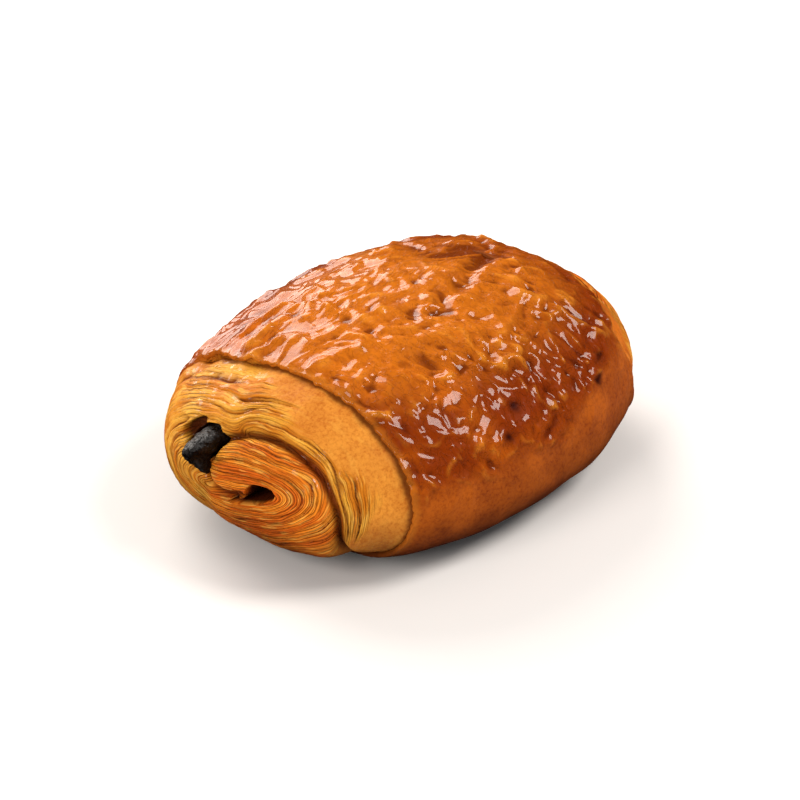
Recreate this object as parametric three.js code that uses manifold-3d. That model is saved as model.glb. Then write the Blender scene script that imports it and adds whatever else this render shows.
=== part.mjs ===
// A baked pain au chocolat: one sheet of laminated dough, rolled up round two chocolate bars.
// Millimetres, +Z up. X runs along the roll, Y across it, and the flat base lies on Z = 0 under the origin.
// The end that shows its spiral best is at -X.
import * as THREE from 'three';
import { mergeVertices } from 'three/addons/utils/BufferGeometryUtils.js';
import Module from 'manifold-3d';

const wasm = await Module();
wasm.setup();

// Driving sizes
const LENGTH = 111;
const WIDTH = 87;
const HEIGHT = 43.5;
const END_HEIGHT = 0.36 * HEIGHT; // height of the foremost point of each end
const BASE_CUT = 1.7; // how much of the round underside the oven tray has pressed flat
const SHEET = 0.15 * WIDTH; // thickness of the risen dough, one turn of the roll

// Exponents of the rounded outline: 2 is an ellipse, and more is squarer.
const TOP_SQUARE = 2.17;
const BASE_SQUARE = 2.92;
const NEAR_END = { along: 2.12, across: 3.23 };
const FAR_END = { along: 2.22, across: 2.79 };

// The glazed crust stops in a rim before each end. At the far end the rim is an arch, with no step low down.
const NEAR_RIM = 0.345 * LENGTH;
const FAR_RIM = 0.414 * LENGTH;
const FAR_RIM_ARCH = 0.77; // how much nearer the middle the far rim ends at the sides than on top
const FAR_RIM_LOW = 0.335 * LENGTH; // no stretch of the far rim is nearer the middle than this
const RIM_LEAN = 0.12;
const RIM_WIDTH = 1.2;
const CRUST_STEP = { height: 1.3, runOut: 16 }; // the step at the rim, and how far past it the step ends
const FAR_STEP_FROM = { z: 20, fade: 9 };
const LEFT_RIM = { back: 3.5, y: 17, fade: 9 }; // on the +Y side the near rim draws back,
const LEFT_STEP = { height: 1.7, runOut: 9, y: 25, width: 7 }; // stands prouder,
const STEP_LOST = { y: 28, fade: 8 }; // and then has no step any more

// Chocolate bars: where each runs through the section, its size, its turn about X, and how far it sticks out
// of the near and the far end.
const BAR_WIDTH = 11.5;
const BAR_THICK = 6;
const OUTER_SIZE = { width: BAR_WIDTH, thick: BAR_THICK };
const OUTER_BAR = { ...OUTER_SIZE, y: 11.2, z: 24.2, turn: -40, near: 4.5, far: -1 };
const INNER_SIZE = { width: 0.72 * BAR_WIDTH, thick: 0.45 * BAR_THICK };
const INNER_BAR = { ...INNER_SIZE, y: -5, z: 18.9, turn: -22, near: -4, far: -4 };
const BAR_GAP = 0.35; // clearance between a bar and its tunnel
const BAR_LUMP = 0.07; // unevenness of a melted bar, as a share of its size
const BAR_CORNER = 0.8; // exponent of the section: 1 is an ellipse, and less is squarer
const BAR_BLUNT = 24; // exponent of the ends: more is blunter

// Chocolate that ran out of the outer bar's near end and set in the crease under it
const LOBE = { p: 4.4, q: -3.9, fromTip: 3.2, radius: 2.8 };

// The layers sprang apart at both ends: a notch beside the outer bar, and a hollow round the inner one.
const NOTCH = { y: 4.2, z: 1.6, grow: -1.2, depth: 2.5 };
const HOLLOW = { y: -4.6, z: 19, turn: -20, halfLength: 7, halfHeight: 2.2, narrowing: 0.8, depth: 9 };

// Relief of the ends
const BUNDLES = 5.5; // bundles of leaves between the middle of the spiral and the crust
const BUNDLE_RISE = 0.8;
const SEAM_DEPTH = 2.2;
const SEAM_WIDTH = 1.9;
const CALM_TIP = 6; // the relief grows to its full height this far from the foremost point
const ROLL_BULGE = 1.3; // how far the inner turn stands proud of the outer one
const INNER_TURN = { y: -8.5, z: 15, acrossSheets: 1.28, upSheets: 1.22 }; // oval round the inner turn

// Next to the crust lies a plain band. Its inner edge, as a share of the way out, at degrees round the end.
const PLAIN_FROM = [[-180, 0.67], [-130, 0.9], [40, 0.95], [65, 0.8], [98, 0.68], [150, 0.5], [180, 0.67]];
const PLAIN_FADE = 0.1;
const PLAIN_RELIEF = 0.15;

// Relief of the crust
const CRUST_LUMP = { rise: 0.7, x: 15, y: 13, z: 12 };
const CRUST_WRINKLE = { rise: 0.8, x: 9, y: 6.5, z: 8 };
const WRINKLED_FROM = { z: 6, fade: 14 };
const CREST_ROOM = 0.5; // how far the mean crust lies under the smooth form, which touches its crests

// The largest folds of the crust, as seen from above: crests, and gullies where the height is below 0.
const FOLDS = [
  { height: -1.7, width: 2.6, at: [[32, 1.7], [22, -2.2], [13, -5.7], [3, -8.7], [-1, -8.7]] },
  { height: 1.3, width: 2.6, at: [[6, -10.5], [8.5, -14], [8.2, -18], [6.4, -23], [4, -27], [-4, -30.5]] },
  { height: 0.9, width: 2.4, at: [[15, -8.5], [20, -15.3], [22, -20], [24, -24], [25, -29], [30, -31.6]] },
  { height: 1, width: 2.2, at: [[-34, 23.7], [-27, 23], [-20.6, 23], [-17, 21]] },
  { height: 1, width: 2.2, at: [[-34.7, 15.3], [-27, 14.7], [-17, 16.6], [-16, 9.4], [-15.3, 3.3]] },
  { height: 0.9, width: 2.2, at: [[-37, 11.8], [-28.4, 8.3], [-28.4, 1.8]] },
  { height: 0.9, width: 2.2, at: [[-35.5, -3.2], [-31.4, -3.7], [-27.2, -5.4], [-23.5, -7.3]] },
  { height: 1, width: 2.2, at: [[-26, 2.5], [-19.3, 0.8], [-11.3, -1.6], [-7.5, -3]] },
  { height: -0.9, width: 1.8, at: [[3.7, -30.7], [4.4, -34.5], [4.7, -37.5], [5.4, -39.7]] },
  { height: -0.9, width: 8, at: [[-32, 26], [-24, 25], [-15, 27]] },
  { height: -1.5, width: 8, at: [[24, 10], [34, 5.5]] },
];

// Mesh fineness
const AROUND = 80;
const ALONG = 70;
const BAR_AROUND = 16;
const BAR_ALONG = 22;

const clamp01 = (t) => Math.min(1, Math.max(0, t));
const smooth = (t) => clamp01(t) ** 2 * (3 - 2 * clamp01(t));
const mix = (a, b, t) => a + (b - a) * t;
const power = (base, exponent) => Math.sign(base) * Math.abs(base) ** exponent;
const radians = THREE.MathUtils.degToRad;

// Smooth random values from -1 to 1, the same on every run.
function corner(i, j, k) {
  const h = Math.sin(i * 127.1 + j * 311.7 + k * 74.7) * 43758.5453;
  return 2 * (h - Math.floor(h)) - 1;
}

function noise(x, y, z) {
  const [i, j, k] = [x, y, z].map(Math.floor);
  const [u, v, w] = [smooth(x - i), smooth(y - j), smooth(z - k)];
  const edge = (b, c) => mix(corner(i, j + b, k + c), corner(i + 1, j + b, k + c), u);
  return mix(mix(edge(0, 0), edge(1, 0), v), mix(edge(0, 1), edge(1, 1), v), w);
}

// Ridges that meet like the creases of crumpled foil, from 0 to 1.
const creases = (x, y, z) => 1 - Math.abs(noise(x, y, z)) * 2;

// The smooth form. s runs from -1 at the near end to 1 at the far end, angle goes round the roll.
function formPoint(s, angle) {
  const end = s < 0 ? NEAR_END : FAR_END;
  const size = Math.max(0, 1 - Math.abs(s) ** end.along) ** (1 / end.across);
  const [c, h] = [Math.cos(angle), Math.sin(angle)];
  const square = 2 / (h > 0 ? TOP_SQUARE : BASE_SQUARE);
  const reach = h > 0 ? HEIGHT - END_HEIGHT : END_HEIGHT + BASE_CUT;
  return new THREE.Vector3(
    (s * LENGTH) / 2,
    (WIDTH / 2) * size * power(c, square),
    END_HEIGHT + reach * size * power(h, square),
  );
}

// The point of the smooth form that lies above (x, y).
function topPoint(x, y) {
  const s = (2 * x) / LENGTH;
  let [low, high] = [0, Math.PI];
  for (let i = 0; i < 20; i += 1) {
    const angle = (low + high) / 2;
    if (formPoint(s, angle).y > y) low = angle;
    else high = angle;
  }
  return formPoint(s, (low + high) / 2);
}

function formNormal(s, angle) {
  const step = 1e-3;
  const at = THREE.MathUtils.clamp(s, -1 + 2 * step, 1 - 2 * step);
  const along = formPoint(at + step, angle).sub(formPoint(at - step, angle));
  const round = formPoint(at, angle + step).sub(formPoint(at, angle - step));
  return along.cross(round).normalize().negate();
}

// The layers in an end are nested ovals, from round the hollow of the inner bar out to the crust.
const MIDDLE = { y: 0.3, z: 17.8, a: 9.5, b: 0.6, turn: radians(-13) };
const OUTSIDE = { y: 0, z: HEIGHT / 2, a: WIDTH / 2, b: HEIGHT / 2, turn: 0 };

function layerAt(y, z) {
  let [low, high] = [0, 1.3];
  for (let i = 0; i < 16; i += 1) {
    const k = (low + high) / 2;
    const turn = mix(MIDDLE.turn, OUTSIDE.turn, k);
    const dy = y - mix(MIDDLE.y, OUTSIDE.y, k);
    const dz = z - mix(MIDDLE.z, OUTSIDE.z, k);
    const p = (dy * Math.cos(turn) + dz * Math.sin(turn)) / mix(MIDDLE.a, OUTSIDE.a, k);
    const q = (dz * Math.cos(turn) - dy * Math.sin(turn)) / mix(MIDDLE.b, OUTSIDE.b, k);
    if (p * p + q * q > 1) low = k;
    else high = k;
  }
  return (low + high) / 2;
}

// The seam between two turns of the sheet, as it shows in an end: from the inner bar's hollow, round the
// tip of the first fold, past the outer bar, over the inner turn and down to the underside.
const SEAM = new THREE.SplineCurve(
  [
    [-2, 17.6],
    [3, 16],
    [7.5, 17.3],
    [9, 21],
    [6, 26.8],
    [0.6, 30.2],
    [-7.5, 31],
    [-15.3, 29.2],
    [-21, 25.5],
    [-24.6, 19],
    [-25, 12],
    [-24, 2],
  ].map(([y, z]) => new THREE.Vector2(y, z)),
).getPoints(90);

const OUTER_SEAM = SEAM.slice(41); // the part that divides the inner turn from the outer one

const seamDistance = (seam, y, z) => Math.min(...seam.map((p) => Math.hypot(p.x - y, p.y - z)));

// 1 on the crust's side of that part of the seam, and 0 on the inner turn's side.
function crustSide(y, z) {
  const away = OUTER_SEAM.map((p) => Math.hypot(p.x - y, p.y - z));
  const i = Math.min(away.indexOf(Math.min(...away)), OUTER_SEAM.length - 2);
  const from = OUTER_SEAM[i];
  const along = OUTER_SEAM[i + 1].clone().sub(from).normalize();
  return smooth(0.5 - along.x * (z - from.y) + along.y * (y - from.x));
}

// How much of a point belongs to the inner turn of the roll, 0 to 1.
function innerTurn(y, z) {
  const p = (y - INNER_TURN.y) / (SHEET * INNER_TURN.acrossSheets);
  const q = (z - INNER_TURN.z) / (SHEET * INNER_TURN.upSheets);
  return smooth((1.15 - Math.hypot(p, q)) * 3);
}

// How far a point lies inside the rim, towards the nearer end: above 0 on the open layers.
function pastRim({ x, y, z }) {
  const arch = Math.max(FAR_RIM * (1 - FAR_RIM_ARCH * Math.abs((2 * y) / WIDTH) ** 4), FAR_RIM_LOW);
  const near = NEAR_RIM - LEFT_RIM.back * smooth((y - LEFT_RIM.y) / LEFT_RIM.fade);
  const wave = 0.8 * noise(y / 9, z / 9, Math.sign(x) * 7);
  return Math.abs(x) - (x < 0 ? near : arch) + RIM_LEAN * (z - HEIGHT / 2) - wave;
}

// How far the open layers lie under the crust: a step at the rim that runs out towards the end's tip.
function crustStep(point) {
  const step = CRUST_STEP.height * (1 - smooth(pastRim(point) / CRUST_STEP.runOut));
  if (point.x > 0) return step * smooth((point.z - FAR_STEP_FROM.z) / FAR_STEP_FROM.fade);
  const atLeft = Math.exp(-(((point.y - LEFT_STEP.y) / LEFT_STEP.width) ** 2));
  const prouder = LEFT_STEP.height * atLeft * (1 - smooth(pastRim(point) / LEFT_STEP.runOut));
  return (step + prouder) * (1 - smooth((point.y - STEP_LOST.y) / STEP_LOST.fade));
}

// Value at t of straight lines through [place, value] pairs.
function alongLines(pairs, t) {
  const i = pairs.findIndex(([place]) => place >= t);
  if (i < 1) return pairs[0][1];
  const [[t0, v0], [t1, v1]] = [pairs[i - 1], pairs[i]];
  return mix(v0, v1, (t - t0) / (t1 - t0));
}

// How far out in the pile of layers a point lies. Over the seam, the leaves run from the seam to the crust.
function leafPlace(layer, roundIt, y, z) {
  const fromSeam = seamDistance(OUTER_SEAM, y, z);
  const share = fromSeam / (fromSeam + 22 * Math.max(1 - layer, 0.02));
  const degrees = (roundIt + 360) % 360;
  const overSeam = smooth((degrees - 55) / 40) * smooth((242 - degrees) / 30) * crustSide(y, z);
  return mix(layer, 0.4 + 0.6 * share, overSeam);
}

// Relief of the spiral in an end: bundles of leaves, the deep seam, and a plain band next to the crust.
function endRelief({ x, y, z }) {
  const layer = layerAt(y, z);
  const roundIt = THREE.MathUtils.radToDeg(Math.atan2(z - END_HEIGHT, y));
  const wander = 0.25 * noise(y / 7, z / 7, x / 20);
  const place = leafPlace(layer, roundIt, y, z);
  const bundle = (Math.cos(2 * Math.PI * (place * BUNDLES + wander)) - 1) / 2;
  const plain = smooth((layer - alongLines(PLAIN_FROM, roundIt)) / PLAIN_FADE);
  const seam = Math.exp(-((seamDistance(SEAM, y, z) / SEAM_WIDTH) ** 2));
  const fromTip = smooth(Math.hypot(y, z - END_HEIGHT) / CALM_TIP);
  return (
    BUNDLE_RISE * bundle * mix(1, PLAIN_RELIEF, plain) * fromTip +
    ROLL_BULGE * innerTurn(y, z) -
    SEAM_DEPTH * seam * mix(0.5, 1, fromTip) +
    0.3 * noise(y / 5, z / 5, 5) * fromTip
  );
}

// Points along the folds, lifted on to the top of the smooth form.
const FOLD_LINES = FOLDS.map(({ at, height, width }) => {
  const plan = new THREE.SplineCurve(at.map(([x, y]) => new THREE.Vector2(x, y)));
  const line = plan.getPoints(24).map((p) => topPoint(p.x, p.y));
  return { line, height, width };
});

function foldRelief(point) {
  let rise = 0;
  for (const { line, height, width } of FOLD_LINES) {
    const away = Math.min(...line.map((p) => p.distanceTo(point)));
    rise += height * Math.exp(-((away / width) ** 2));
  }
  return rise;
}

// Relief of the glazed crust: broad blisters, and wrinkles that fade towards the underside.
function crustRelief(point) {
  const { x, y, z } = point;
  const up = smooth((z - WRINKLED_FROM.z) / WRINKLED_FROM.fade);
  const lump = CRUST_LUMP.rise * noise(x / CRUST_LUMP.x, y / CRUST_LUMP.y, z / CRUST_LUMP.z);
  const wrinkle = creases(x / CRUST_WRINKLE.x + 3, y / CRUST_WRINKLE.y, z / CRUST_WRINKLE.z) - 0.4;
  return lump * mix(0.5, 1, up) + (CRUST_WRINKLE.rise * wrinkle - CREST_ROOM) * up + foldRelief(point);
}

function pastryPoint(s, angle) {
  const point = formPoint(s, angle);
  const crust = smooth(0.5 - pastRim(point) / RIM_WIDTH);
  const rise = mix(endRelief(point) - crustStep(point), crustRelief(point), crust);
  const flatter = smooth((point.z - 0.5) / 4);
  point.addScaledVector(formNormal(s, angle), rise * flatter);
  point.z = Math.max(0, point.z);
  return point;
}

// Values of a parameter at even steps of length along a curve, crowded where crowd is above 1.
function evenSteps(count, low, high, pointAt, crowd) {
  const fine = 1500;
  const at = (i) => mix(low, high, i / fine);
  const run = [0];
  for (let i = 1; i <= fine; i += 1) {
    run.push(run[i - 1] + pointAt(at(i)).distanceTo(pointAt(at(i - 1))) * crowd(at(i - 0.5)));
  }
  const steps = [];
  for (let n = 0, i = 0; n <= count; n += 1) {
    const goal = (run[fine] * n) / count;
    while (i < fine && run[i] < goal) i += 1;
    steps.push(at(i));
  }
  return steps;
}

// A closed round form: a sphere's grid, with each point moved to where place(row, column) says.
function roundForm(around, along, place) {
  const geometry = new THREE.SphereGeometry(1, around, along);
  geometry.deleteAttribute('normal');
  geometry.deleteAttribute('uv');
  const position = geometry.getAttribute('position');
  for (let row = 0; row <= along; row += 1) {
    for (let column = 0; column <= around; column += 1) {
      const { x, y, z } = place(row, column % around);
      position.setXYZ(row * (around + 1) + column, x, y, z);
    }
  }
  return mergeVertices(geometry, 1e-4);
}

function solidOf(geometry) {
  return new wasm.Manifold(
    new wasm.Mesh({
      numProp: 3,
      vertProperties: geometry.getAttribute('position').array,
      triVerts: new Uint32Array(geometry.index.array),
    }),
  );
}

function geometryOf(solid) {
  const { vertProperties, triVerts } = solid.getMesh();
  const geometry = new THREE.BufferGeometry();
  geometry.setAttribute('position', new THREE.BufferAttribute(vertProperties, 3));
  geometry.setIndex(new THREE.BufferAttribute(triVerts, 1));
  geometry.computeVertexNormals();
  return geometry;
}

// A point of a section turned about X, where p runs across its width and q through its thickness.
function inSection({ y, z, turn }, p, q) {
  const [c, s] = [Math.cos(radians(turn)), Math.sin(radians(turn))];
  return [y + p * c - q * s, z + p * s + q * c];
}

function barOutline(bar, grow) {
  return Array.from({ length: BAR_AROUND }, (_, i) => {
    const angle = (2 * Math.PI * i) / BAR_AROUND;
    const p = (bar.width / 2 + grow) * power(Math.cos(angle), BAR_CORNER);
    const q = (bar.thick / 2 + grow) * power(Math.sin(angle), BAR_CORNER);
    return inSection(bar, p, q);
  });
}

// A blunt body along X, as uneven as melted chocolate sets.
function barForm(bar) {
  const outline = barOutline(bar, 0);
  return roundForm(BAR_AROUND, BAR_ALONG, (row, column) => {
    const s = -Math.cos((Math.PI * row) / BAR_ALONG);
    const x = s * (endReach(bar) + (s < 0 ? bar.near : bar.far));
    const size = Math.max(0, 1 - Math.abs(s) ** BAR_BLUNT) ** (1 / 2.4);
    const [y, z] = outline[(BAR_AROUND - column) % BAR_AROUND];
    const lump = 1 + BAR_LUMP * noise(x / 3.5, y / 3, z / 3);
    return new THREE.Vector3(x, mix(bar.y, y, size * lump), mix(bar.z, z, size * lump));
  });
}

// Where an end's surface lies at a bar's place, measured along X from the middle.
function endReach(bar) {
  const span = Math.hypot(bar.y / (WIDTH / 2), (bar.z - END_HEIGHT) / (HEIGHT - END_HEIGHT));
  return (LENGTH / 2) * (1 - span ** NEAR_END.across) ** (1 / NEAR_END.along);
}

// The chocolate that has set under the near end of the outer bar.
function lobe(grow) {
  const [y, z] = inSection(OUTER_BAR, LOBE.p, LOBE.q);
  const x = LOBE.fromTip - endReach(OUTER_BAR) - OUTER_BAR.near;
  return wasm.Manifold.sphere(LOBE.radius + grow, 12).translate([x, y, z]);
}

function outerBar() {
  return geometryOf(solidOf(barForm(OUTER_BAR)).add(lobe(0)));
}

// A straight hole along X. Its outline lies in the plane of Y and Z.
function hole(outline, fromX, toX) {
  const upright = wasm.CrossSection.ofPolygons([outline]).extrude(toX - fromX);
  return upright.rotate([90, 0, 90]).translate([fromX, 0, 0]);
}

// The same hole in both ends, from so deep under the surface at a bar's place.
function endHoles(outline, bar, depth) {
  const inside = endReach(bar) - depth;
  return [hole(outline, inside, LENGTH), hole(outline, -LENGTH, -inside)];
}

// The outline of the hollow round the inner bar: high at the right, with a roof that comes down to the left.
function hollowOutline() {
  return Array.from({ length: BAR_AROUND }, (_, i) => {
    const angle = (2 * Math.PI * i) / BAR_AROUND;
    const along = HOLLOW.halfLength * Math.cos(angle);
    const high = HOLLOW.halfHeight * (1 - HOLLOW.narrowing * smooth((along + 1.5) / 5));
    return inSection(HOLLOW, along, high * (1 + Math.sin(angle)) - HOLLOW.halfHeight);
  });
}

function holes() {
  const clearance = BAR_GAP + (BAR_LUMP * BAR_WIDTH) / 2;
  const notch = { ...OUTER_BAR, y: OUTER_BAR.y + NOTCH.y, z: OUTER_BAR.z + NOTCH.z };
  return wasm.Manifold.union([
    hole(barOutline(OUTER_BAR, clearance), -LENGTH, LENGTH),
    hole(barOutline(INNER_BAR, clearance), -LENGTH, LENGTH),
    lobe(BAR_GAP),
    ...endHoles(barOutline(notch, NOTCH.grow), OUTER_BAR, NOTCH.depth),
    ...endHoles(hollowOutline(), INNER_BAR, HOLLOW.depth),
  ]);
}

function makePastry() {
  const stations = evenSteps(
    ALONG,
    -1,
    1,
    (s) => formPoint(s, 0.5),
    (s) => 1 + 2.4 * smooth((Math.abs(s) - 0.6) * 8) * (s < 0 ? 1 : 0.6),
  );
  const angles = evenSteps(
    AROUND,
    0,
    2 * Math.PI,
    (angle) => formPoint(0, angle),
    (angle) => (Math.sin(angle) > -0.5 ? 1 : 0.6),
  );
  const whole = roundForm(AROUND, ALONG, (row, column) => {
    const atPole = row % ALONG === 0; // where all columns meet
    return pastryPoint(stations[row], atPole ? 0 : -angles[column]);
  });
  return geometryOf(solidOf(whole).subtract(holes()));
}

const crustFinish = new THREE.MeshStandardMaterial({ color: 0xb8662a, roughness: 0.35, metalness: 0 });
const chocolateFinish = new THREE.MeshStandardMaterial({ color: 0x241a18, roughness: 0.55, metalness: 0 });

function named(name, geometry, material) {
  const mesh = new THREE.Mesh(geometry, material);
  mesh.name = name;
  return mesh;
}

const painAuChocolat = new THREE.Group();
painAuChocolat.add(named('pastry', makePastry(), crustFinish));
painAuChocolat.add(named('chocolate_bar_outer', outerBar(), chocolateFinish));
painAuChocolat.add(named('chocolate_bar_inner', barForm(INNER_BAR), chocolateFinish));

// The uneven form is set square over the origin.
const middle = new THREE.Box3().setFromObject(painAuChocolat).getCenter(new THREE.Vector3());
painAuChocolat.position.set(-middle.x, -middle.y, 0);

export default painAuChocolat;
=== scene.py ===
# %% [markdown]
# # A pain au chocolat
# The real thing is one sheet of laminated dough rolled round two bars of chocolate and baked. Its outside is
# a thin glazed crust, wrinkled like foil. At each end the crust stops, and the edges of dozens of leaves show
# as a spiral. So three kinds of surface have to be made: the crust, the two leafy ends, and the chocolate.

# %% Load the frame
import math

import bmesh
import bpy
import numpy as np
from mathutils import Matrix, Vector


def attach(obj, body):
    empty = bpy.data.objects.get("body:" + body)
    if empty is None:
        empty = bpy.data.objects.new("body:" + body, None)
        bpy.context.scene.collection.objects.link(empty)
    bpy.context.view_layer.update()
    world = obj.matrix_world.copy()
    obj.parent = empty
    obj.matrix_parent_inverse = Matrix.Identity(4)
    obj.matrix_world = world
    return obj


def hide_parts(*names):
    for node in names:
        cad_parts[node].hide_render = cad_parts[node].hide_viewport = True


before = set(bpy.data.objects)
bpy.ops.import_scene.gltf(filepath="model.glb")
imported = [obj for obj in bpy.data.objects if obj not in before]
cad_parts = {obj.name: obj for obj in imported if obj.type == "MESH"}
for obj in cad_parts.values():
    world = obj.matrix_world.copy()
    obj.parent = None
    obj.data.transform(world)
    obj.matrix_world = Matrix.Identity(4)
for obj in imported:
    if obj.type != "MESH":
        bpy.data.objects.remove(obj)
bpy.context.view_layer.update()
MM = 0.001

# %% [markdown]
# The sizes are those of the solid, in millimetres. The form is a rounded one: its outline in every direction
# is a superellipse, where an exponent of 2 gives an ellipse and more gives squarer shoulders.

# %% Sizes
LENGTH, WIDTH, HEIGHT = 111.0, 87.0, 43.5
END_HEIGHT = 0.36 * HEIGHT  # height of the foremost point of each end
BASE_CUT = 1.7  # how much of the round underside the oven tray has pressed flat
SHEET = 0.15 * WIDTH  # one turn of the roll
TOP_SQUARE, BASE_SQUARE = 2.17, 2.92
NEAR_END = {"along": 2.12, "across": 3.23}
FAR_END = {"along": 2.22, "across": 2.79}

NEAR_RIM = 0.345 * LENGTH
FAR_RIM = 0.414 * LENGTH
FAR_RIM_ARCH = 0.77
FAR_RIM_LOW = 0.335 * LENGTH
RIM_LEAN = 0.12
CRUST_STEP = {"height": 1.3, "run_out": 16.0}  # the step at the rim, and how far past it the step has run out
LEFT_RIM = {"back": 3.5, "y": 17.0, "fade": 9.0}  # on the +Y side the near rim draws back,
LEFT_STEP = {"height": 1.7, "run_out": 9.0, "y": 25.0, "width": 7.0}  # stands prouder,
STEP_LOST = {"y": 28.0, "fade": 8.0}  # and then has no step any more
CREST_ROOM = 0.5  # how far the mean crust lies under the smooth form, which touches its crests
SHIFT = np.array([0.92, -0.09, 0])  # sets the uneven form square over the origin, as the solid is
print("the smooth form is", LENGTH, "by", WIDTH, "by", HEIGHT, "mm")

# %% [markdown]
# The camera comes first, so that each piece can be judged from where the photographer stood: 50 degrees round
# from the side, 30 degrees up, and far away with a long lens.

# %% Camera
AZIMUTH, ELEVATION = math.radians(-49.6), math.radians(30.1)
DISTANCE = 0.79
FOCAL_PIXELS, FRAME_PIXELS = 3512.0, 800.0
OFF_CENTRE = (4.0, 24.4)  # how far right and up of the picture's middle the object's middle lies, in pixels

level = Vector((math.sin(AZIMUTH), -math.cos(AZIMUTH), 0))
back = level * math.cos(ELEVATION) + Vector((0, 0, math.sin(ELEVATION)))
right = Vector((math.cos(AZIMUTH), math.sin(AZIMUTH), 0))
up = back.cross(right)
middle = Vector((0, 0, HEIGHT / 2 * MM))
middle += Vector(SHIFT * MM)
aim = middle - (right * OFF_CENTRE[0] + up * OFF_CENTRE[1]) * DISTANCE / FOCAL_PIXELS
camera = bpy.data.objects.new("camera", bpy.data.cameras.new("camera"))
bpy.context.scene.collection.objects.link(camera)
camera.location = middle + back * DISTANCE
camera.rotation_euler = (aim - camera.location).to_track_quat("-Z", "Y").to_euler()
camera.data.sensor_width = 36
camera.data.lens = FOCAL_PIXELS * camera.data.sensor_width / FRAME_PIXELS
bpy.context.scene.camera = camera
print("lens", round(camera.data.lens), "mm at", DISTANCE, "m")

# %% [markdown]
# Baked dough is never regular, so every surface is pushed about by smooth random values. Blender's own noise
# works on one point at a time. This one takes all points of a mesh at once, which is far quicker. Its table
# of slopes is shuffled with a fixed seed, so the pastry is the same on every run.

# %% Noise on many points at once
TABLE = np.random.default_rng(11).permutation(256)
SLOPES = np.random.default_rng(12).normal(size=(256, 3)).astype(np.float32)
SLOPES /= np.linalg.norm(SLOPES, axis=1, keepdims=True)


def smooth(t):
    t = np.clip(t, 0, 1)
    return t * t * (3 - 2 * t)


def mix(a, b, t):
    return a + (b - a) * t


def noise(points, size, seed=0):
    """Smooth values of about -1 to 1, with lumps as large as size: one number, or one for each axis."""
    p = (points / np.asarray(size, float) + seed * 17.31).astype(np.float32)
    cell = np.floor(p).astype(np.int32)
    f = p - cell
    w = f * f * f * (f * (f * 6 - 15) + 10)
    x_hash = [TABLE[(cell[:, 0] + i) & 255] for i in (0, 1)]
    total = np.zeros(len(p), np.float32)
    for i, j, k in np.ndindex(2, 2, 2):
        slope = SLOPES[TABLE[(TABLE[(x_hash[i] + cell[:, 1] + j) & 255] + cell[:, 2] + k) & 255]]
        wx = w[:, 0] if i else 1 - w[:, 0]
        wy = w[:, 1] if j else 1 - w[:, 1]
        wz = w[:, 2] if k else 1 - w[:, 2]
        rise = slope[:, 0] * (f[:, 0] - i) + slope[:, 1] * (f[:, 1] - j) + slope[:, 2] * (f[:, 2] - k)
        total += wx * wy * wz * rise
    return total * 1.6


def crests(points, size, seed=0):
    """Sharp crests between soft hollows, like a tent's, from 0 to 1."""
    return (1 - np.minimum(np.abs(noise(points, size, seed)) * 1.15, 1)) ** 2


def wrinkles(points, size, sharp, seed=0):
    """Thin raised lines on smooth ground, like the folds in foil, from 0 to 1."""
    return smooth(1 - sharp * np.abs(noise(points, size, seed)))


def pleats(points, direction, width, seed=0):
    """Folds square to direction, with flat sides and sharp edges as in crumpled paper, from 0 to 1."""
    phase = points @ np.array(direction) / width + 0.9 * noise(points, 2.2 * width, seed)
    return 2 * np.abs(phase - np.floor(phase) - 0.5)


def crumpled_foil(points, width, seed=0):
    """Pleats in three directions, each in places of its own, so that they meet in facets."""
    directions = ((0.8, 0.2, 0.55), (-0.55, 0.6, 0.6), (0.3, 0.75, -0.6))
    total = np.zeros(len(points))
    for n, direction in enumerate(directions):
        here = smooth(0.5 + 1.1 * noise(points, 3.5 * width, seed + 7 + n))
        total += here * (pleats(points, direction, width * (1 + 0.2 * n), seed + n) - 0.5)
    return total


def warped(points, size, amount, seed=0):
    """Points moved about, which makes any pattern read there wander."""
    moves = [noise(points, size, seed + n) for n in range(3)]
    return points + amount * np.stack(moves, axis=1)


sample = np.stack(np.meshgrid(*[np.arange(0, 60, 3.7)] * 3), axis=-1).reshape(-1, 3)
print("noise spreads by", round(float(noise(sample, 8).std()), 2), "to either side of 0")


# %% [markdown]
# The form is the same smooth one as the solid's. Each point on it has two addresses: s, from -1 at the near
# end to 1 at the far end, and an angle round the roll. Relief is added along the normal.

# %% The smooth form
def power(base, exponent):
    return np.sign(base) * np.abs(base) ** exponent


def form_point(s, angle):
    along = np.where(s < 0, NEAR_END["along"], FAR_END["along"])
    across = np.where(s < 0, NEAR_END["across"], FAR_END["across"])
    size = np.maximum(0, 1 - np.abs(s) ** along) ** (1 / across)
    c, h = np.cos(angle), np.sin(angle)
    square = 2 / np.where(h > 0, TOP_SQUARE, BASE_SQUARE)
    reach = np.where(h > 0, HEIGHT - END_HEIGHT, END_HEIGHT + BASE_CUT)
    x = s * LENGTH / 2 + 0 * angle
    y = WIDTH / 2 * size * power(c, square)
    z = END_HEIGHT + reach * size * power(h, square)
    return np.stack([x, y, z], axis=-1)


def form_normal(s, angle):
    step = 1e-4
    at = np.clip(s, -1 + 3 * step, 1 - 3 * step)
    along = form_point(at + step, angle) - form_point(at - step, angle)
    round_it = form_point(at, angle + step) - form_point(at, angle - step)
    normal = np.cross(round_it, along)
    return normal / np.maximum(np.linalg.norm(normal, axis=-1, keepdims=True), 1e-12)


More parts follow.
